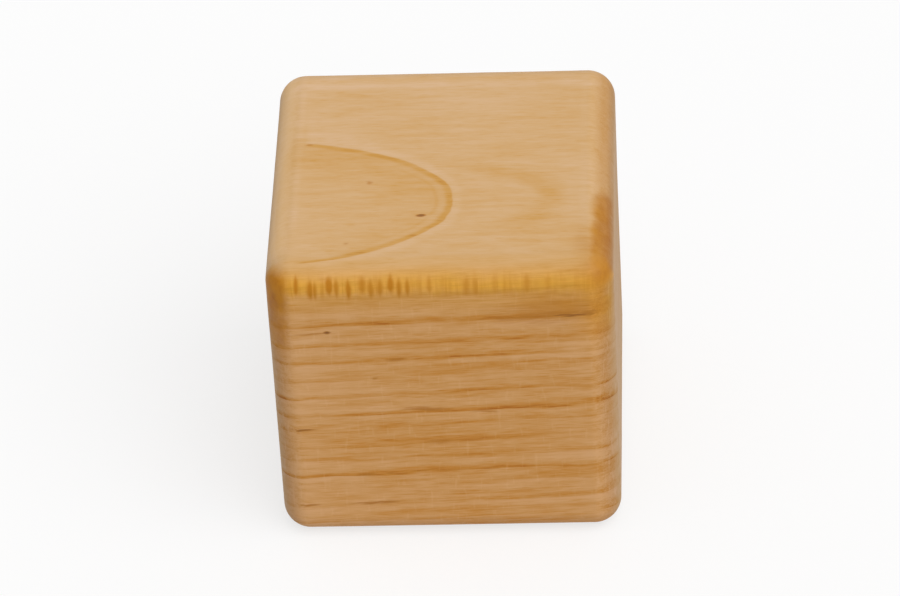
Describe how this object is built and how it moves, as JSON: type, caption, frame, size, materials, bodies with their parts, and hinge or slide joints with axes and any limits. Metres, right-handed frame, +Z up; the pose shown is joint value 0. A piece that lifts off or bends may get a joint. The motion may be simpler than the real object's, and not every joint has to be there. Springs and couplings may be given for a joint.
{
  "type": "wooden cube",
  "caption": "Solid hardwood cube with evenly rounded edges and ball corners, a plain sanded blank for stacking, spacing, craft and desk use.",
  "frame": {"origin": "middle of the face that the cube stands on", "axes": "+Z up, +X along the grain and to the right as seen from the front, +Y to the back"},
  "size_m": [0.04, 0.04, 0.04],
  "materials": {
    "wood": "sanded smooth, satin"
  },
  "bodies": {
    "root": {"wooden_cube": "wood"}
  },
  "joints": []
}
